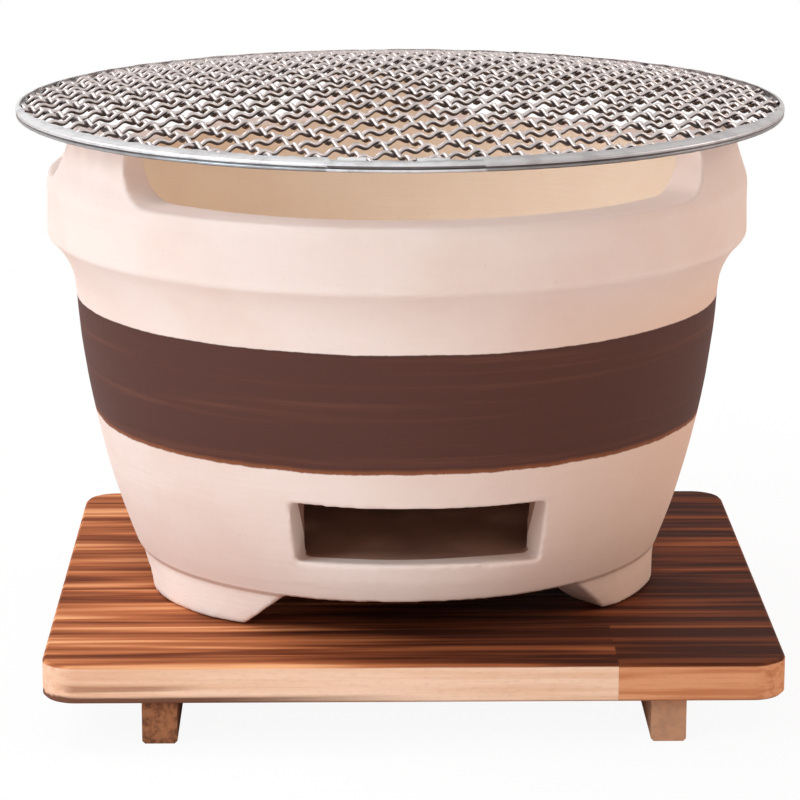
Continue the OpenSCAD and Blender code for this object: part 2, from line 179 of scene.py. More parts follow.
class Value:
    """A number that varies over a surface or along a wire. Sums, products and ratios of it add Math nodes."""

    def __init__(self, nodes, socket):
        self.nodes = nodes
        self.socket = socket

    def _math(self, operation, *terms):
        return self.nodes.add("ShaderNodeMath", {"operation": operation}, *terms)

    def __add__(self, other):
        return self._math("ADD", self, other)

    def __radd__(self, other):
        return self._math("ADD", other, self)

    def __sub__(self, other):
        return self._math("SUBTRACT", self, other)

    def __rsub__(self, other):
        return self._math("SUBTRACT", other, self)

    def __mul__(self, other):
        return self._math("MULTIPLY", self, other)

    def __rmul__(self, other):
        return self._math("MULTIPLY", other, self)

    def __truediv__(self, other):
        return self._math("DIVIDE", self, other)

    def __rtruediv__(self, other):
        return self._math("DIVIDE", other, self)

    def apply(self, operation, *others):
        """The result of another operation of the Math node."""
        return self._math(operation, self, *others)

    def step(self, low, high):
        """0 up to low and 1 from high, with a smooth rise between, or the other way round if low is higher."""
        if low > high:
            return 1 - self.step(high, low)
        return self.nodes.add("ShaderNodeMapRange", {"interpolation_type": "SMOOTHSTEP"}, self, low, high)


class Nodes:
    """A node tree that is built by adding nodes whose sockets take values, colours or links."""

    def __init__(self, tree):
        self.tree = tree

    def plug(self, socket, value):
        """Links a varying value to a socket, or sets the socket to a plain one."""
        if isinstance(value, Value):
            self.tree.links.new(value.socket, socket)
        elif socket.type == "RGBA":
            socket.default_value = (*value, 1.0)
        else:
            socket.default_value = value

    def add(self, kind, settings=None, *values, output=0, **named):
        """Adds a node: its settings first, then its sockets in order and by name. Returns one of its outputs."""
        node = self.tree.nodes.new(kind)
        for key, value in (settings or {}).items():
            setattr(node, key, value)
        sockets = [s for s in node.inputs if s.enabled]
        for socket, value in zip(sockets, values):
            self.plug(socket, value)
        for key, value in named.items():
            self.plug(next(s for s in sockets if s.name == key.replace("_", " ")), value)
        outputs = node.outputs if isinstance(output, str) else [s for s in node.outputs if s.enabled]
        return Value(self, outputs[output])

    def axes(self, point):
        """The x, y and z of a point."""
        node = self.tree.nodes.new("ShaderNodeSeparateXYZ")
        self.plug(node.inputs[0], point)
        return [Value(self, s) for s in node.outputs]


class Finish(Nodes):
    """A material with one Principled shader."""

    def __init__(self, name):
        self.material = bpy.data.materials.new(name)
        self.material.use_nodes = True
        super().__init__(self.material.node_tree)
        self.tree.nodes.clear()
        self.shader = self.tree.nodes.new("ShaderNodeBsdfPrincipled")
        self.output = self.tree.nodes.new("ShaderNodeOutputMaterial")
        self.show(Value(self, self.shader.outputs["BSDF"]))

    def show(self, shader):
        """Makes a shader the material's surface."""
        self.plug(self.output.inputs["Surface"], shader)

    def point(self, stretch=(1, 1, 1), shift=(0, 0, 0)):
        """The place on the piece, in metres, stretched and shifted."""
        place = self.add("ShaderNodeTexCoord", output="Object")
        return self.add("ShaderNodeMapping", {}, place, shift, (0, 0, 0), stretch)

    def place(self):
        """The x, y and z of the place on the piece, in metres."""
        return self.axes(self.point())

    def attribute(self, name):
        return self.add("ShaderNodeAttribute", {"attribute_name": name}, output="Fac")

    def noise(self, size, stretch=(1, 1, 1), shift=(0, 0, 0), detail=3.0, rough=0.5, warp=0.0):
        """Noise from 0 to 1 whose lumps are about size metres across."""
        return self.add("ShaderNodeTexNoise", {"noise_dimensions": "3D"}, Vector=self.point(stretch, shift),
                        Scale=1 / size, Detail=detail, Roughness=rough, Distortion=warp)

    def mix(self, share, first, second):
        """The first colour where share is 0 and the second where it is 1."""
        return self.add("ShaderNodeMix", {"data_type": "RGBA", "clamp_factor": True}, share, first, second)

    def ramp(self, value, *stops):
        """A colour ramp with stops of (place, colour)."""
        node = self.tree.nodes.new("ShaderNodeValToRGB")
        elements = node.color_ramp.elements
        while len(elements) < len(stops):
            elements.new(0.5)
        for element, (place, shade) in zip(elements, stops):
            element.position = place
            element.color = (*shade, 1.0)
        self.plug(node.inputs[0], value)
        return Value(self, node.outputs["Color"])

    def bump(self, height, depth, strength, under=None):
        """Relief of that depth in metres, over another relief if there is one."""
        named = {"Strength": strength, "Distance": depth, "Height": height}
        if under is not None:
            named["Normal"] = under
        return self.add("ShaderNodeBump", {}, **named)

    def surface(self, **sockets):
        """Sets the shader's sockets and returns the material."""
        for key, value in sockets.items():
            self.plug(self.shader.inputs[key.replace("_", " ")], value)
        return self.material


class Rule(Nodes):
    """A geometry node tree with named inputs, given as the names of each kind, which a modifier then runs."""

    def __init__(self, name, **inputs):
        super().__init__(bpy.data.node_groups.new(name, "GeometryNodeTree"))
        sockets = self.tree.interface
        sockets.new_socket("Geometry", in_out="OUTPUT", socket_type="NodeSocketGeometry")
        self.identifiers = {}
        for kind, keys in inputs.items():
            for key in keys:
                socket = sockets.new_socket(key, in_out="INPUT", socket_type="NodeSocket" + kind)
                self.identifiers[key] = socket.identifier
        self.entry = self.tree.nodes.new("NodeGroupInput")

    def given(self, name):
        """A named input of the tree."""
        return Value(self, self.entry.outputs[name])

    def close(self, geometry):
        """Ends the tree: instances become real and take the material that is given to the tree."""
        real = self.add("GeometryNodeRealizeInstances", {}, geometry)
        dressed = self.add("GeometryNodeSetMaterial", {}, Geometry=real, Material=self.given("Material"))
        last = self.tree.nodes.new("NodeGroupOutput")
        self.plug(last.inputs[0], dressed)

    def run(self, name, **values):
        """The plain mesh that the tree makes with these inputs."""
        work = placed(name, bpy.data.meshes.new(name))
        modifier = work.modifiers.new("rule", "NODES")
        modifier.node_group = self.tree
        for key, value in values.items():
            modifier[self.identifiers[key]] = value
        return finished_mesh(work)


# ---- Mesh helpers ------------------------------------------------------------------------------------

def placed(name, data):
    """A new object in the scene."""
    made = bpy.data.objects.new(name, data)
    bpy.context.scene.collection.objects.link(made)
    return made


def finished_mesh(work):
    """The plain mesh that an object's modifiers make. The object itself is removed."""
    bpy.context.view_layer.update()
    made = bpy.data.meshes.new_from_object(work.evaluated_get(bpy.context.evaluated_depsgraph_get()))
    bpy.data.objects.remove(work)
    return made


def with_modifiers(name, mesh, *steps):
    """The mesh after the modifiers, each given as (type, settings)."""
    work = placed(name, mesh)
    for kind, settings in steps:
        modifier = work.modifiers.new(kind.lower(), kind)
        for key, value in settings.items():
            setattr(modifier, key, value)
    return finished_mesh(work)


def dress(mesh, material):
    """Makes a material the mesh's only one."""
    mesh.materials.clear()
    mesh.materials.append(material)


def new_piece(name, mesh, material, body, replaced):
    """Links a finished mesh as a piece that rides on a body."""
    piece = placed(name, mesh)
    dress(mesh, material)
    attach(piece, body)
    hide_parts(*replaced)


def frame_mesh(node):
    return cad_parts[node].data


def edited(mesh, change):
    """The mesh after a function has changed it as a bmesh."""
    shape = bmesh.new()
    shape.from_mesh(mesh)
    change(shape)
    shape.to_mesh(mesh)
    shape.free()
    return mesh


def merge(shape):
    """Joins a frame mesh's loose triangles."""
    bmesh.ops.remove_doubles(shape, verts=shape.verts, dist=0.01 * MM)


def turn_outwards(shape):
    bmesh.ops.recalc_face_normals(shape, faces=shape.faces)


def turn_upwards(shape):
    """Makes an open sheet's faces agree and look up."""
    turn_outwards(shape)
    if sum(face.normal.z for face in shape.faces) < 0:
        bmesh.ops.reverse_faces(shape, faces=shape.faces)


def rows_of(items, key, width, kind=float):
    """A property of a mesh's points or edges, as the rows of an array."""
    rows = np.empty(len(items) * width, kind)
    items.foreach_get(key, rows)
    return rows.reshape(-1, width)


def places(mesh):
    return rows_of(mesh.vertices, "co", 3)


def normals(mesh):
    return rows_of(mesh.vertex_normals, "vector", 3)


def move_points(mesh, rows):
    mesh.vertices.foreach_set("co", np.ascontiguousarray(rows, np.float32).ravel())
    mesh.update()


def point_attribute(mesh, name, values):
    made = mesh.attributes.new(name, "FLOAT", "POINT")
    made.data.foreach_set("value", np.ascontiguousarray(values, np.float32))


def rise(value, start, end):
    """0 up to start and 1 from end, with a straight rise between, or the other way round if start is higher."""
    return np.clip((value - start) / (end - start), 0, 1)


def sharpness(mesh, rounds):
    """How far each point stands proud of its surroundings, from -1 in a hollow to 1 on an edge."""
    rows = places(mesh)
    first, second = rows_of(mesh.edges, "vertices", 2, np.int32).T
    count = np.bincount(np.concatenate([first, second]), minlength=len(rows)).clip(1)
    smooth = rows
    for _ in range(rounds):
        total = np.zeros_like(smooth)
        np.add.at(total, first, smooth[second])
        np.add.at(total, second, smooth[first])
        smooth = total / count[:, None]
    proud = ((rows - smooth) * normals(mesh)).sum(1)
    return np.clip(proud / (0.25 * MM), -1, 1)


# ---- Clay --------------------------------------------------------------------------------------------

def outer_clay(clay, settings, grit):
    """The outside's shade: cream with warmer patches, painted shade on the right side, painted light on the left
    feet and on the sides of the rim's notches, worn edges and painted shade where the feet meet the bowl.
    """
    x, _, z = clay.place()
    patches = clay.noise(0.045, detail=4.0, rough=0.6)
    cream = clay.mix(patches.step(0.42, 0.72) * 0.55, settings.clay, settings.clay_warm)
    wipe = clay.noise(0.030, stretch=(0.35, 0.35, 3.0), shift=(0.7, 0.1, 0.4), detail=4.0)
    cream = clay.mix(wipe.step(0.45, 0.75) * 0.25, cream, linear(242, 227, 217))
    # Painted shade: the right side is darker and warmer, most of all below the rim
    right_side_shade = x.step(-0.01, 0.095) * (0.75 - z.step(105 * MM, 140 * MM) * 0.65)
    cream = clay.mix(right_side_shade, cream, linear(226, 186, 162))
    # Painted light: the feet on the left are paler
    pale = z.step(BOWL_LOW.z + 14 * MM, BOWL_LOW.z + 9 * MM) * x.step(0.01, -0.04)
    cream = clay.mix(pale * 0.7, cream, linear(252, 236, 226))
    cream = clay.mix(grit.step(0.68, 0.78) * 0.22, cream, linear(190, 152, 132))
    worn = clay.attribute("edge").step(0.15, 0.8)
    cream = clay.mix(worn * 0.15, cream, linear(247, 233, 224))
    # Painted light makes the sides of the rim's notches paler and warmer
    cream = clay.mix(clay.attribute("notch_side_light") * 0.7, cream, linear(255, 231, 218))
    # Painted shade in the groove where the feet meet the bowl
    off_joint = z - (BOWL_LOW.z + (FOOT_HIGH - 0.1) * MM)
    feet_groove_shade = (off_joint * off_joint).step((0.9 * MM) ** 2, (0.25 * MM) ** 2)
    return clay.mix(feet_groove_shade * 0.6, cream, linear(186, 146, 126))


def inner_clay(clay, settings, grit):
    """The inside's shade: a warm fire wall above the grate, painted lighter for light, and a stained ash chamber
    below it, with painted shade.
    """
    z = clay.place()[2]
    heat = clay.noise(0.035, stretch=(1, 1, 0.6), shift=(0.3, 0.2, 0), detail=5.0)
    fire_wall = clay.mix(heat.step(0.35, 0.75) * 0.25, settings.inside_clay_lightened, linear(242, 212, 188))
    fire_wall = clay.mix(grit.step(0.66, 0.80) * 0.2, fire_wall, linear(205, 165, 140))
    # The ash chamber's colour is soot and painted shade
    chamber = clay.mix(heat.step(0.3, 0.7), settings.soot, linear(172, 130, 110))
    return clay.mix(z.step(GRATE_LOW.z + 2 * MM, GRATE_LOW.z - 6 * MM), fire_wall, chamber)


def inside_mask(clay):
    """1 on the fire wall and deep in the window, where the sill's soot and painted shade reach further out than the
    sides' do.
    """
    x, y, z = clay.place()
    height = z - BOWL_LOW.z
    sill = height.step((WINDOW_SILL + 1.9) * MM, (WINDOW_SILL + 1) * MM)
    reach = 71.8 * MM + (height - WINDOW_SILL * MM) * 0.54 + sill * (3.6 * MM)
    radius = (x * x + y * y).apply("SQRT")
    deep = (radius - reach).step(0.3 * MM, -0.3 * MM) * height.step((FOOT_HIGH + 1) * MM, (FOOT_HIGH + 1.4) * MM)
    deep = deep * height.step((WINDOW_TOP + 4) * MM, (WINDOW_TOP + 3) * MM)
    return clay.attribute("inside").apply("MAXIMUM", deep)


def slip_band(clay, settings, strokes):
    """Where the slip lies, and its shade. It runs at its lower edge, and both of its edges wander."""
    z = clay.place()[2]
    low_edge = BOARD_HIGH.z + settings.band_low
    high_edge = BOARD_HIGH.z + settings.band_high
    sway = clay.noise(0.055, shift=(0.21, 0.4, 0), detail=2.0) - 0.5
    hairs = clay.noise(0.004, stretch=(1, 1, 0.5), detail=3.0, rough=0.7) - 0.5
    lower = z + sway * (3.4 * MM) + hairs * (0.9 * MM)
    upper = z + sway * (1.6 * MM) + hairs * (0.5 * MM)
    above = lower.step(low_edge - 0.2 * MM, low_edge + 0.3 * MM)
    below = upper.step(high_edge + 0.25 * MM, high_edge - 0.15 * MM)
    fine = clay.noise(0.012, stretch=(0.2, 0.2, 12.0), shift=(0.1, 0.5, 0.9), detail=4.0, rough=0.6)
    slip = clay.mix(strokes.step(0.5, 0.8) * 0.75, settings.band, settings.band_light)
    slip = clay.mix(fine.step(0.55, 0.75) * 0.35, slip, linear(76, 46, 40))
    runny = lower.step(low_edge + 1.9 * MM, low_edge + 0.5 * MM)
    slip = clay.mix(runny * 0.85, slip, settings.band_edge)
    crisp = upper.step(high_edge - 1.3 * MM, high_edge - 0.4 * MM)
    return above * below, clay.mix(crisp * 0.4, slip, linear(78, 46, 40))


def clay_finish(settings):
    """Fired clay: a sandy cream skin, a brushed band, a warmer fire wall painted lighter for light and an ash
    chamber stained and painted darker for shade.
    """
    clay = Finish("fired clay")
    grit = clay.noise(0.0011, detail=2.0)
    strokes = clay.noise(0.030, stretch=(0.25, 0.25, 9.0), shift=(0.3, 0.8, 0.1), detail=6.0, rough=0.62)
    inside = inside_mask(clay)
    skin = clay.mix(inside, outer_clay(clay, settings, grit), inner_clay(clay, settings, grit))
    band, slip = slip_band(clay, settings, strokes)
    band = band * (1 - inside)
    shade = clay.mix(band, skin, slip)

    sand = clay.noise(0.0009, detail=3.0, rough=0.6)
    trails = clay.noise(0.010, stretch=(0.3, 0.3, 6.0), detail=4.0)
    relief = clay.bump(sand, 0.10 * MM, 0.55)
    relief = clay.bump(trails, 0.25 * MM, 0.5, relief)
    relief = clay.bump(band, 0.12 * MM, 0.6, relief)
    rough = 0.88 - band * 0.14 + (strokes - 0.5) * band * 0.12
    return clay.surface(Base_Color=shade, Roughness=rough, Normal=relief, Specular_IOR_Level=0.2)


def correct_window(x, y, z, radius):
    """Moves the window's points, in millimetres. Its cheeks open a little wider towards the ash chamber, whose wall
    stands further out. Its outer edge lies further out on the left, higher along the sill and lower at the top."""
    front = (y < -50) & (z > WINDOW_SILL - 0.2) & (z < WINDOW_TOP + 0.2)
    # A cheek runs straight inwards from the window's corner, 80.3 mm in front of the bowl's axis
    cheek = front & (np.abs(np.abs(x) - WINDOW_HALF + (y + 80.3) * 0.3443) < 0.1)
    chamber = (radius > 70.4) & (radius < 75) & (z > WINDOW_SILL - 0.1) & (z < WINDOW_TOP - 1.8)
    x[chamber] *= 1 + 1.2 / radius[chamber]
    y[chamber] *= 1 + 1.2 / radius[chamber]
    x[cheek] += np.sign(x[cheek]) * 0.0857 * (y[cheek] + 74.7)

    edge = front & (np.abs(x) < WINDOW_HALF + 1.6) & (radius > 76)
    part = x / WINDOW_HALF
    sill, top, left = edge & (z < WINDOW_SILL + 0.3), edge & (z > WINDOW_TOP - 0.3), edge & (part < -0.9)
    z[sill] += (1.6 - 0.65 * part - 0.95 * part ** 2)[sill]
    z[top] -= (0.45 + 0.45 * part)[top]
    x[left] -= 1.0 + 0.7 * (z[left] - WINDOW_SILL) / (WINDOW_TOP - WINDOW_SILL)
    y[left] = -np.sqrt(radius[left] ** 2 - x[left] ** 2)


def correct_foot(x, y, z, radius, direction):
    """Moves a foot's points, in millimetres. It is thinner than the frame's, reaches further out at the board, is
    undercut at the bowl, and its ends slant."""
    ahead = math.radians(direction - 90)
    turn = (np.degrees(np.arctan2(y, x) - ahead) + 180) % 360 - 180
    foot = (np.abs(turn) < 34) & (z < FOOT_HIGH + 0.06) & (radius < 80)
    back = foot & (radius < 62)
    front = foot & (radius > 70) & (z < FOOT_HIGH - 0.05)
    high = z / FOOT_HIGH
    # How far each point belongs to the corner that reaches out and to the end that draws in, and how many degrees
    # it swings round the bowl
    corner, drawn, swing = rise(turn, 18, 10), 0, 0 * turn
    if direction == LEFT_FOOT:
        drawn = rise(turn, -4, -16)
        swing = rise(turn, 6, 20) * np.where(back, -5.8 + 2.3 * high, 4.4 - 1.3 * high)
        swing += rise(turn, -14, -26) * (9 - 8 * high)
    if direction == RIGHT_FOOT:
        corner, drawn = rise(turn, -18, -13), rise(turn, 4, 16)
        swing = rise(turn, -6, -18) * np.where(back, 2.0, -2.4 + 0.6 * high)

    x[back] += 8 * math.cos(ahead)
    y[back] += 8 * math.sin(ahead)
    bottom = 78 + 1.9 * corner - 1.7 * drawn
    wanted = bottom + (79.6 - 1.1 * drawn - bottom) * z / FOOT_HIGH
    for axis in (x, y):
        axis[front] *= (wanted / radius)[front]
    cos, sin = np.cos(np.radians(swing[foot])), np.sin(np.radians(swing[foot]))
    x[foot], y[foot] = x[foot] * cos - y[foot] * sin, x[foot] * sin + y[foot] * cos


def bowl_corrected(mesh):
    """Moves points of the bowl's frame mesh to the window and the feet in the photograph: by up to 2 mm at the
    window, and by more at the feet, whose backs come 8 mm further out and whose ends swing round the bowl."""
    rows = places(mesh)
    cos, sin = math.cos(BOWL_TURN), math.sin(BOWL_TURN)
    x = (rows[:, 0] * cos + rows[:, 1] * sin) / MM
    y = (rows[:, 1] * cos - rows[:, 0] * sin) / MM
    z = (rows[:, 2] - BOWL_LOW.z) / MM
    radius = np.hypot(x, y)
    correct_window(x, y, z, radius)
    for direction in (LEFT_FOOT, RIGHT_FOOT, BACK_FOOT):
        correct_foot(x, y, z, radius, direction)
    rows[:, 0] = (x * cos - y * sin) * MM
    rows[:, 1] = (x * sin + y * cos) * MM
    rows[:, 2] = z * MM + BOWL_LOW.z
    move_points(mesh, rows)
    return mesh


def clay_bowl_mesh(settings):
    """The bowl's frame node with a fine, soft and slightly uneven skin."""
    mesh = with_modifiers("clay", bowl_corrected(edited(frame_mesh("clay_bowl").copy(), merge)),
                          ("REMESH", {"mode": "VOXEL", "voxel_size": settings.grain, "adaptivity": 0.0}),
                          ("SMOOTH", {"factor": 0.5, "iterations": settings.softness}))
    rows, out = places(mesh), normals(mesh)
    swell = np.array([noise.fractal(Vector(p) * 22, 0.6, 2.1, 3, noise_basis="PERLIN_ORIGINAL") for p in rows])
    # The hand's trails run round the bowl, so their lumps are long round it and short up and down
    trail = np.array([noise.noise(Vector((p[0] * 9, p[1] * 9, p[2] * 95))) for p in rows])
    on_wall = np.abs((rows[:, :2] * out[:, :2]).sum(1) / np.hypot(rows[:, 0], rows[:, 1]).clip(1e-6))
    rows += out * (settings.unevenness * (0.55 * swell + 0.35 * trail * on_wall))[:, None]
    # What stands on the board and what carries the net keeps its height
    rows[:, 2] = np.clip(rows[:, 2], BOWL_LOW.z, BOWL_HIGH.z)
    move_points(mesh, rows)
    share = min(1.0, settings.faces / (2 * len(mesh.polygons)))
    mesh = with_modifiers("clay", mesh, ("DECIMATE", {"ratio": share}))
    mark_clay(mesh)
    return mesh


def mark_clay(mesh):
    """Stores which points of the bowl lie on an edge, on the fire wall and on the sides of the rim's notches, which
    get painted light.
    """
    rows, out = places(mesh), normals(mesh)
    radius = np.hypot(rows[:, 0], rows[:, 1]).clip(1e-6)
    height = (rows[:, 2] - BOWL_LOW.z) / MM
    facing = (rows[:, :2] * out[:, :2]).sum(1) / radius
    across = np.abs(rows[:, 0] * out[:, 1] - rows[:, 1] * out[:, 0]) / radius
    point_attribute(mesh, "edge", sharpness(mesh, 4))
    # The fire wall faces the bowl's middle; the sides of the notches and of the window don't
    point_attribute(mesh, "inside", rise(facing, -0.5, -0.8) * (height > WINDOW_TOP + 1))
    point_attribute(mesh, "notch_side_light", rise(across, 0.35, 0.65) * (height > BELOW_NOTCHES))


# ---- Wood --------------------------------------------------------------------------------------------

def bare_side(wood, shade, line, lines, bands, shift):
    """The shade of a stave's bare sides, with what the torch left on them."""
    x, _, z = wood.place()
    side = wood.mix(lines.step(0.42, 0.68) * 0.7, shade, line)
    side = wood.mix(bands.step(0.5, 0.7) * 0.35, side, line)
    side = wood.mix(x.step(-0.045, -0.10) * 0.25, side, linear(206, 128, 84))
    speckle = wood.noise(0.0009, stretch=(0.4, 1, 1), shift=shift, detail=2.0)
    side = wood.mix(speckle.step(0.50, 0.72) * 0.10, side, linear(176, 112, 74))
    # The torch caught the front face low down at its left end, and along its lower edge
    height = z - BOARD_LOW.z + (lines - 0.5) * (3 * MM)
    smear = height.step(3.3 * MM, 4.1 * MM) * height.step(6.2 * MM, 5.4 * MM)
    smear = smear * x.step(-0.052, -0.074) * x.step(-0.098, -0.092)
    side = wood.mix(smear * 0.55, side, linear(128, 70, 42))
    lower_edge = height.step(2.7 * MM, 1.5 * MM) * x.step(0.02, -0.06)
    return wood.mix(lower_edge * 0.9, side, linear(88, 44, 28))


def board_finish(name, settings, seed, edge_shade, edge_line):
    """Wood with a scorched and brushed top, darker towards the right with scorch and painted shade, and bare sides.
    """
    wood = Finish(name)
    shift = (seed * 0.37, seed * 0.53, seed * 0.19)
    x, _, z = wood.place()
    # Long bands of the growth rings along X, from broad ones to hairs
    broad = wood.noise(0.014, stretch=(0.10, 1, 1), shift=shift, detail=2.0, warp=0.6)
    bands = wood.noise(0.0052, stretch=(0.045, 1, 1), shift=shift, detail=2.0, warp=0.5)
    lines = wood.noise(0.0019, stretch=(0.03, 1, 1), shift=shift, detail=3.0, rough=0.6)
    # The darker right part, scorch with painted shade, ends in tongues that follow the grain
    wander = wood.noise(0.012, stretch=(0.08, 1, 1), shift=(shift[1], shift[0], 0.3), detail=2.0)
    scorch = (x + (wander - 0.5) * (190 * MM)).step(-48 * MM, 22 * MM)
    tone = broad * 0.70 + bands * 0.95 + lines * 0.30 - 0.45 - scorch * 0.30
    top = wood.ramp(tone, (0.16, settings.board_char), (0.36, settings.board_brown),
                    (0.58, settings.board_orange), (0.76, settings.board_light))
    on_top = (z + (lines - 0.5) * (0.5 * MM)).step(BOARD_HIGH.z - 0.95 * MM, BOARD_HIGH.z - 0.55 * MM)
    under = z.step(BOARD_LOW.z + 0.6 * MM, BOARD_LOW.z + 0.1 * MM)
    shade = wood.mix(on_top, bare_side(wood, edge_shade, edge_line, lines, bands, shift), top)
    shade = wood.mix(under * 0.7, shade, linear(120, 72, 45))
    relief = wood.bump(lines, 0.18 * MM, 0.5)
    relief = wood.bump(tone, 0.4 * MM, 0.5, relief)
    return wood.surface(Base_Color=shade, Roughness=0.72 - lines * 0.1, Normal=relief, Specular_IOR_Level=0.06)


def batten_finish(settings):
    """The battens' stained wood, with its grain along Y and rough, mottled sawn ends."""
    wood = Finish("batten wood")
    x = wood.place()[0]
    lines = wood.noise(0.0030, stretch=(1, 0.05, 1), detail=5.0, rough=0.65)
    mottle = wood.noise(0.006, shift=(0.2, 0, 0), detail=5.0, rough=0.7)
    shade = wood.mix(lines.step(0.40, 0.66) * 0.8, settings.batten, settings.batten_dark)
    shade = wood.mix(mottle.step(0.48, 0.70) * 0.75, shade, settings.batten_dark)
    shade = wood.mix(x.step(0.0, 0.05) * 0.55, shade, linear(222, 172, 138))
    relief = wood.bump(lines, 0.3 * MM, 0.7)
    relief = wood.bump(mottle, 0.5 * MM, 0.5, relief)
    return wood.surface(Base_Color=shade, Roughness=0.8, Normal=relief, Specular_IOR_Level=0.3)


def screw_finish():
    """Zinc-plated steel."""
    zinc = Finish("zinc")
    cloud = zinc.noise(0.002, detail=3.0)
    shade = zinc.mix(cloud, linear(172, 174, 178), linear(204, 205, 208))
    return zinc.surface(Base_Color=shade, Metallic=1.0, Roughness=0.32 + cloud * 0.18)


# ---- Grate -------------------------------------------------------------------------------------------

def grate_finish(settings):
    """The grate plate's clay, sooty round its holes."""
    clay = Finish("grate clay")
    soot = clay.noise(0.02, detail=5.0, rough=0.6)
    grit = clay.noise(0.0010, detail=2.0)
    # The grate takes the fire wall's colour, which is painted lighter for light
    shade = clay.mix(soot.step(0.35, 0.75), settings.inside_clay_lightened, linear(150, 108, 84))
    shade = clay.mix(grit.step(0.6, 0.76) * 0.4, shade, linear(110, 76, 58))
    relief = clay.bump(grit, 0.12 * MM, 0.6)
    return clay.surface(Base_Color=shade, Roughness=0.9, Normal=relief, Specular_IOR_Level=0.3)


# ---- Net ---------------------------------------------------------------------------------------------

def wire_finish(settings):
    """Bare drawn wire with the faint lines of the die, dull patches and painted shade."""
    metal = Finish("net wire")
    dull = metal.noise(0.006, detail=4.0)
    shade = metal.mix(dull.step(0.4, 0.75) * 0.5, settings.wire_metal, linear(156, 151, 150))
    # Soot, painted shade and painted dark reflections where a wire dives under another, and painted shade on its
    # underside
    dark = linear(52, 43, 41)
    shade = metal.mix(metal.attribute("low").step(0.66, 0.94) * 0.9, shade, dark)
    shade = metal.mix(metal.attribute("up").step(0.72, 0.40) * 0.92, shade, dark)
    drawn = metal.noise(0.0007, detail=2.0)
    relief = metal.bump(drawn, 0.02 * MM, 0.5)
    return metal.surface(Base_Color=shade, Metallic=1.0, Roughness=0.28 + dull * 0.16, Normal=relief)


def strip_finish(settings):
    """The rim strip's bright sheet metal, with marks of the folding tool."""
    metal = Finish("rim strip")
    dull = metal.noise(0.008, detail=5.0, rough=0.6)
    shade = metal.mix(dull.step(0.42, 0.72) * 0.7, settings.strip_metal, linear(166, 161, 162))
    # Painted shade makes the right side darker and duller
    x = metal.place()[0]
    shade = metal.mix(x.step(-0.01, 0.045) * 0.6, shade, linear(150, 140, 138))
    # Painted shade in the strip's groove and lower fold, and a painted dark outline round the tabs
    shade = metal.mix(metal.attribute("rim").step(0.2, 0.9) * 0.85, shade, linear(64, 56, 54))
    marks = metal.noise(0.003, stretch=(1, 1, 2), detail=3.0)
    relief = metal.bump(marks, 0.10 * MM, 0.5)
    return metal.surface(Base_Color=shade, Metallic=1.0, Roughness=0.25 + dull * 0.2, Normal=relief)


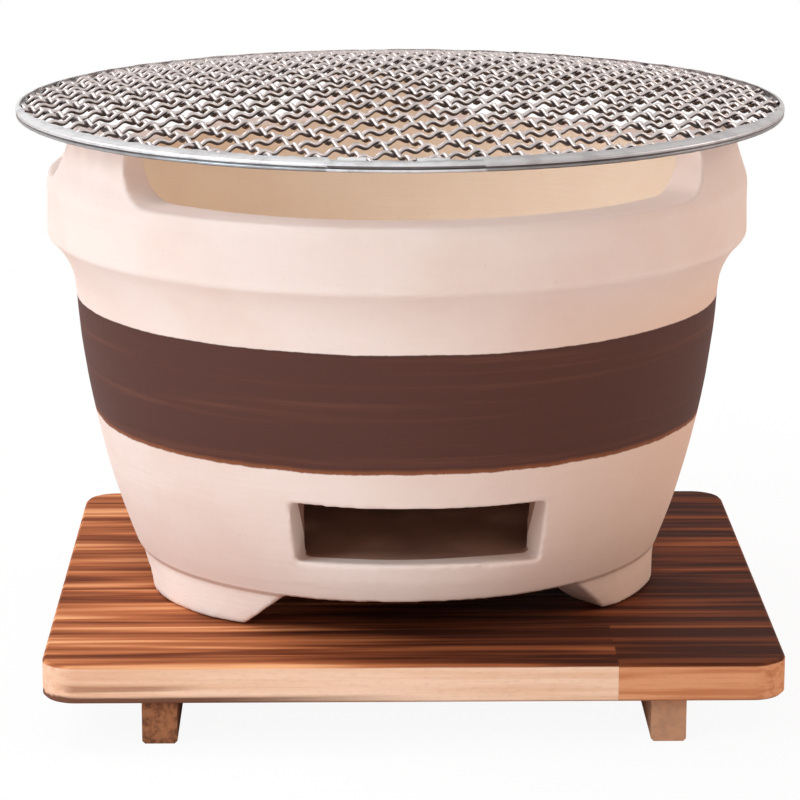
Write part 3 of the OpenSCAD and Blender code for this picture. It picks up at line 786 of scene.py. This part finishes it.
def woven_wires_rule():
    """One set of wires along X that bend over and under the wires that cross them, on a low dome."""
    rule = Rule("woven wires", Int=("Wires", "Samples", "Waves"), Material=("Material",),
                Float=("Mesh", "Wire", "Crimp", "Shift", "Other Shift", "Grip", "Crown", "Crown Radius",
                       "Mouth Radius", "End Radius", "Height", "Turn"))
    wires, mesh, turn = rule.given("Wires"), rule.given("Mesh"), rule.given("Turn")
    line = rule.add("GeometryNodeCurvePrimitiveLine", {}, Start=(-1.0, 0.0, 0.0), End=(1.0, 0.0, 0.0))
    line = rule.add("GeometryNodeResampleCurve", {}, Curve=line, Count=rule.given("Samples"))
    rows = rule.add("GeometryNodeMeshLine", {}, Count=wires, Offset=(0.0, 1.0, 0.0))
    laid = rule.add("GeometryNodeInstanceOnPoints", {}, Points=rows, Instance=line)
    laid = rule.add("GeometryNodeRealizeInstances", {}, laid)

    place = rule.add("GeometryNodeInputPosition")
    share, row, _ = rule.axes(place)
    number = (row - wires / 2).apply("ROUND")
    across = (number + 0.5) * mesh + rule.given("Shift")
    end = rule.given("End Radius")
    reach = (end * end - across * across).apply("MAXIMUM", 0.0).apply("SQRT")
    along = share * reach
    radius = (along * along + across * across).apply("SQRT")
    part = (radius / rule.given("Crown Radius")).apply("MINIMUM", 1.0)
    crown = rule.given("Crown") * (1 - part * part)
    # 0 at a crossing and pi at the next one. The wire waves an odd number of times between them
    turns = ((along - rule.given("Other Shift")) / mesh - 0.5) * math.pi
    swing = (turns * rule.given("Waves")).apply("COSINE")
    side = 1 - 2 * number.apply("FLOORED_MODULO", 2.0)
    # The rim strip's fold holds the wires' ends down at the front alone
    behind = (along * turn.apply("SINE") + across * turn.apply("COSINE")) / (radius + 1 * MM)
    held = (radius - rule.given("Mouth Radius")).step(-1.4 * MM, 1 * MM) * behind.step(-0.1, -0.5)
    height = crown + swing * side * rule.given("Crimp") * (1 - held) + held * rule.given("Grip")

    wobble = rule.add("ShaderNodeTexNoise", {"noise_dimensions": "3D"}, Vector=place, Scale=3.1, Detail=1.0)
    stray = (wobble - 0.5) * (1 - held) * (1.1 * MM)
    # A wire that would lie wholly outside the rim is left out
    outside = across.apply("ABSOLUTE").apply("GREATER_THAN", end - 1 * MM)
    laid = rule.add("GeometryNodeDeleteGeometry", {"domain": "POINT"}, Geometry=laid, Selection=outside)
    at = rule.add("ShaderNodeCombineXYZ", {}, along, across + stray, height)
    laid = rule.add("GeometryNodeSetPosition", {}, Geometry=laid, Position=at)
    # How far the wire dives under its neighbours, and how far its skin faces up
    stored = {"data_type": "FLOAT", "domain": "POINT"}
    low = (0.5 - 0.5 * turns.apply("COSINE") * side) * (1 - held)
    laid = rule.add("GeometryNodeStoreNamedAttribute", stored, Geometry=laid, Name="low", Value=low)
    ring = rule.add("GeometryNodeCurvePrimitiveCircle", {}, Resolution=8, Radius=rule.given("Wire") / 2)
    tube = rule.add("GeometryNodeCurveToMesh", {}, laid, ring, Fill_Caps=True)
    up = rule.axes(rule.add("GeometryNodeInputNormal"))[2] * 0.5 + 0.5
    tube = rule.add("GeometryNodeStoreNamedAttribute", stored, Geometry=tube, Name="up", Value=up)
    lift = rule.add("ShaderNodeCombineXYZ", {}, NET_X, 0.0, rule.given("Height"))
    spin = rule.add("ShaderNodeCombineXYZ", {}, 0.0, 0.0, turn)
    rule.close(rule.add("GeometryNodeTransform", {}, Geometry=tube, Translation=lift, Rotation=spin))
    return rule


def net_wires(settings, material):
    """Both sets of wires, each as one plain mesh."""
    rule = woven_wires_rule()
    mouth = NET_R - settings.strip
    shared = {"Wires": 2 * math.ceil(mouth / settings.mesh), "Samples": 401, "Mesh": settings.mesh,
              "Wire": settings.wire, "Crimp": settings.crimp, "Waves": settings.waves, "Crown": settings.crown,
              "Crown Radius": NET_R, "Mouth Radius": mouth, "End Radius": NET_R - 1.1 * MM, "Height": NET_Z,
              "Material": material}
    warp = {"Shift": settings.warp_shift, "Other Shift": -settings.weft_shift, "Grip": 0.78 * MM,
            "Turn": settings.turn}
    weft = {"Shift": settings.weft_shift, "Other Shift": settings.warp_shift, "Grip": 0.46 * MM,
            "Turn": settings.turn + math.pi / 2}
    return [rule.run("net_warp", **shared, **warp), rule.run("net_weft", **shared, **weft)]


def strip_section(width):
    """The folded strip's section, in millimetres, as rows of four numbers: how far in from the rim's edge, how far
    above the rim's middle, and how dark its painted shade is where the upper fold is whole and where it is missing."""
    top = RIM_H / 2 / MM
    low = top - 2.65
    climb = 0.17 * width
    outside = [(width, top + climb, 0, 0.3), (2.2, top + 0.26, 0, 0.3), (0.9, top, 0, 0.15),
               (0.35, top - 0.1, 0, 0), (0.08, top - 0.3, 0, 0), (0, top - 0.5, 0, 0.5), (0, top - 0.7, 0, 1),
               (0, top - 0.95, 0, 1), (0.12, top - 1.1, 0.6, 1), (0.5, top - 1.25, 1, 1), (0.6, top - 1.4, 1, 1),
               (0.45, top - 1.55, 0.8, 1), (0.3, top - 1.7, 0.65, 0.3), (0.25, top - 1.9, 0.6, 0),
               (0.3, top - 2.2, 0.6, 0), (0.5, top - 2.45, 0.8, 0.4), (0.9, low + 0.05, 0.9, 0.9),
               (1.4, low, 0.9, 0.9), (width, low + climb, 0.5, 0.5)]
    inside = [(width, low + climb + SHEET), (1.6, low + SHEET), (1.3, -0.2), (0.6, 0.2), (0.6, top - 0.9),
              (1.1, top - SHEET), (width, top + climb - SHEET)]
    return np.array(outside + [(*point, 0.2, 0.6) for point in inside])


def ring_noise(angle, lumps, seed):
    """Noise round the rim, from -1 to 1, that is finer the more lumps it has."""
    return noise.noise(Vector((math.cos(angle) * lumps, math.sin(angle) * lumps, seed)))


def sheet_mesh(name, points, faces, rim, settle):
    """A sheet-metal mesh from points in millimetres about the rim's middle, with how dark its painted shade is at
    each of them.
    """
    mesh = bpy.data.meshes.new(name)
    mesh.from_pydata((np.array(points) * MM + (NET_X, 0, NET_Z)).tolist(), [], faces)
    point_attribute(mesh, "rim", rim)
    return edited(mesh, settle)


def rim_strip_mesh(settings):
    """The folded strip. Its upper side climbs inwards over the wires' ends and is folded down over the lower
    one's edge, with a groove between. For a short way at the front, where its ends meet, that fold is missing."""
    width = settings.strip / MM
    edge, top = NET_R / MM, RIM_H / 2 / MM
    inward, height, dark, dark_missing = strip_section(width).T
    inner = np.clip(inward / width, 0, 1)
    upper = height > top - 1.2
    turns, count = 720, len(inward)
    rows, rim = [], []
    for angle in np.linspace(0, 2 * math.pi, turns, endpoint=False):
        ahead = ((angle + 1.5 * math.pi) % (2 * math.pi) - math.pi) * edge
        missing = FOLD_MISSING[0] < ahead < FOLD_MISSING[1]
        dent, ripple = ring_noise(angle, 14, 0.3), ring_noise(angle, 45, 1.7)
        # The fold is broad at the front and narrow at the sides and the back
        broad = 0.25 + 0.75 * rise(math.sin(angle), -0.05, -0.5)
        r = edge - inward * broad * (1 - 0.5 * upper * missing) + inner * ripple * 0.7 * broad
        z = top + np.where(height > top, broad, 1) * (height - top)
        z = z - 0.15 * upper * missing + (0.2 * dent - 0.15 * ripple) * inner
        rows.append(np.column_stack([r * math.cos(angle), r * math.sin(angle), z]))
        rim.append(dark_missing if missing else dark)
    faces = [(t * count + i, t * count + (i + 1) % count,
              (t + 1) % turns * count + (i + 1) % count, (t + 1) % turns * count + i)
             for t in range(turns) for i in range(count)]
    mesh = sheet_mesh("rim_strip", np.concatenate(rows), faces, np.concatenate(rim), turn_outwards)
    mesh.shade_smooth()
    return mesh


def rim_tabs_mesh():
    """The strip's tabs and its lapped end, as bent plates on the strip."""
    steps, across = 24, 8
    edge, top = NET_R / MM, RIM_H / 2 / MM
    points, faces, rim = [], [], []
    for start, length, reach, lift in TABS:
        first = len(points)
        for i in range(steps + 1):
            at_end = i in (0, steps)
            share = i / steps
            angle = (start + length * share) / edge - math.pi / 2
            crimp = 0.12 * math.sin(share * 17 + start)
            for j in range(across + 1):
                part = j / across
                r = edge - 2.7 - (reach - 0.4 * at_end) * part
                z = top + 0.25 + (crimp + lift) * part
                points.append((r * math.cos(angle), r * math.sin(angle), z))
                # A tab's edges get a painted dark outline, the shade of the gap beneath it
                rim.append(float(at_end or j in (0, across)))
        for i in range(steps):
            for j in range(across):
                at = first + i * (across + 1) + j
                faces.append((at, at + across + 1, at + across + 2, at + 1))
    mesh = sheet_mesh("rim_tabs", points, faces, rim, turn_upwards)
    mesh = with_modifiers("rim_tabs", mesh, ("SOLIDIFY", {"thickness": 0.45 * MM, "offset": -1.0}),
                          ("BEVEL", {"width": 0.1 * MM, "segments": 2, "limit_method": "ANGLE"}))
    mesh.shade_smooth()
    return mesh


# ---- Stage -------------------------------------------------------------------------------------------

def plain_world():
    """A white background for the camera and for metal, and an even warm sky that lights the rest."""
    world = bpy.data.worlds.new("studio")
    world.use_nodes = True
    nodes = Nodes(world.node_tree)
    nodes.tree.nodes.clear()
    seen = nodes.add("ShaderNodeLightPath", output="Is Camera Ray")
    for kind in ("Is Glossy Ray", "Is Transmission Ray"):
        seen = seen.apply("MAXIMUM", nodes.add("ShaderNodeLightPath", output=kind))
    sky = nodes.add("ShaderNodeBackground", {}, SKY, SKY_STRENGTH)
    white = nodes.add("ShaderNodeBackground", {}, WHITE, 1.0)
    output = nodes.tree.nodes.new("ShaderNodeOutputWorld")
    nodes.plug(output.inputs["Surface"], nodes.add("ShaderNodeMixShader", {}, seen, sky, white))
    bpy.context.scene.world = world


def floor_finish():
    """A white floor that stays white to the camera and keeps the object's shadow."""
    floor = Finish("floor")
    floor.surface(Base_Color=(0.93, 0.93, 0.93), Roughness=0.9, Specular_IOR_Level=0.0)
    x, y, _ = floor.place()
    away = (x * x + y * y).apply("SQRT")
    glow = floor.add("ShaderNodeEmission", {}, WHITE, 1.0)
    share = (away.step(0.14, 0.45) * 0.07 + 0.93) * floor.add("ShaderNodeLightPath", output="Is Camera Ray")
    lit = Value(floor, floor.shader.outputs["BSDF"])
    floor.show(floor.add("ShaderNodeMixShader", {}, share, lit, glow))
    return floor.material


def floor_mesh():
    """A square floor under the board."""
    mesh = bpy.data.meshes.new("floor")
    wide = FLOOR_HALF
    mesh.from_pydata([(-wide, -wide, 0), (wide, -wide, 0), (wide, wide, 0), (-wide, wide, 0)], [], [(0, 1, 2, 3)])
    dress(mesh, floor_finish())
    return mesh


def soft_lamp(name, place, size, power, shade):
    """A round area lamp that is aimed at the bowl."""
    lamp = bpy.data.lights.new(name, "AREA")
    lamp.shape = "DISK"
    lamp.size = size
    lamp.energy = power
    lamp.color = shade
    made = placed(name, lamp)
    made.location = place
    made.rotation_euler = (Vector(LAMPS_AIM) - Vector(place)).to_track_quat("-Z", "Y").to_euler()


def photo_camera():
    """The camera at the photograph's place."""
    camera = bpy.data.cameras.new("camera")
    camera.lens = CAMERA_LENS
    camera.sensor_width = 36.0
    camera.clip_start = 0.05
    camera.clip_end = 20.0
    made = placed("camera", camera)
    made.location = CAMERA_PLACE
    made.rotation_euler = CAMERA_TURN
    bpy.context.scene.camera = made


# ---- Operators ---------------------------------------------------------------------------------------

class BRAZIER_OT_stage(bpy.types.Operator):
    """Makes the camera, lamps, white world and floor"""
    bl_idname = "brazier.stage"
    bl_label = "Stage"

    def execute(self, context):
        photo_camera()
        plain_world()
        for lamp in LAMPS:
            soft_lamp(*lamp)
        floor = placed("floor", floor_mesh())
        context.scene.view_settings.view_transform = "Standard"
        return {"FINISHED"}


class BRAZIER_OT_bowl(bpy.types.Operator):
    """Makes the clay bowl's skin and its finish"""
    bl_idname = "brazier.bowl"
    bl_label = "Clay bowl"

    def execute(self, context):
        settings = context.scene.brazier_clay
        mesh = clay_bowl_mesh(settings)
        mesh.shade_smooth()
        new_piece("bowl", mesh, clay_finish(settings), "brazier", ["clay_bowl"])
        return {"FINISHED"}


class BRAZIER_OT_grate(bpy.types.Operator):
    """Finishes the grate plate"""
    bl_idname = "brazier.grate"
    bl_label = "Grate plate"

    def execute(self, context):
        dress(frame_mesh("grate_plate"), grate_finish(context.scene.brazier_clay))
        return {"FINISHED"}


class BRAZIER_OT_board(bpy.types.Operator):
    """Finishes the staves, battens and screws"""
    bl_idname = "brazier.board"
    bl_label = "Board"

    def execute(self, context):
        wood = context.scene.brazier_wood
        bare = (wood.pale, wood.pale_line)
        short = (wood.orange, wood.orange_line)
        for number, (node, edge) in enumerate((
                ("board_front_stave_long", bare), ("board_front_stave_short", short),
                ("board_stave_2", short), ("board_stave_3", bare), ("board_stave_4", short),
                ("board_back_stave", bare)), 1):
            dress(frame_mesh(node), board_finish(node + " wood", wood, number, *edge))
        battens = batten_finish(wood)
        for node in ("left_batten", "right_batten"):
            dress(frame_mesh(node), battens)
        dress(frame_mesh("batten_screws"), screw_finish())
        return {"FINISHED"}


class BRAZIER_OT_net(bpy.types.Operator):
    """Weaves the net and folds its rim"""
    bl_idname = "brazier.net"
    bl_label = "Net"

    def execute(self, context):
        settings = context.scene.brazier_net
        wire = wire_finish(settings)
        for mesh, name in zip(net_wires(settings, wire), ("warp_wires", "weft_wires")):
            mesh.shade_smooth()
            new_piece(name, mesh, wire, "net", ["net_" + name])
        strip = strip_finish(settings)
        new_piece("rim_strip", rim_strip_mesh(settings), strip, "net", ["net_rim"])
        new_piece("rim_tabs", rim_tabs_mesh(), strip, "net", ["net_rim_lap"])
        return {"FINISHED"}


class BRAZIER_PT_panel(bpy.types.Panel):
    """Lists the steps that dress the brazier"""
    bl_idname = "BRAZIER_PT_panel"
    bl_label = "Brazier"
    bl_space_type = "VIEW_3D"
    bl_region_type = "UI"
    bl_category = "Brazier"

    def draw(self, context):
        column = self.layout.column()
        for step in STEPS:
            column.operator(step.bl_idname)


STEPS = (BRAZIER_OT_stage, BRAZIER_OT_board, BRAZIER_OT_bowl, BRAZIER_OT_grate, BRAZIER_OT_net)
SETTINGS = {"brazier_clay": ClaySettings, "brazier_wood": WoodSettings, "brazier_net": NetSettings}
CLASSES = (*SETTINGS.values(), *STEPS, BRAZIER_PT_panel)


def register():
    for made in CLASSES:
        bpy.utils.register_class(made)
    for name, group in SETTINGS.items():
        setattr(bpy.types.Scene, name, PointerProperty(type=group))


def unregister():
    for name in SETTINGS:
        delattr(bpy.types.Scene, name)
    for made in reversed(CLASSES):
        bpy.utils.unregister_class(made)


def main():
    register()
    for step in STEPS:
        group, name = step.bl_idname.split(".")
        getattr(getattr(bpy.ops, group), name)()


if __name__ == "__main__":
    main()
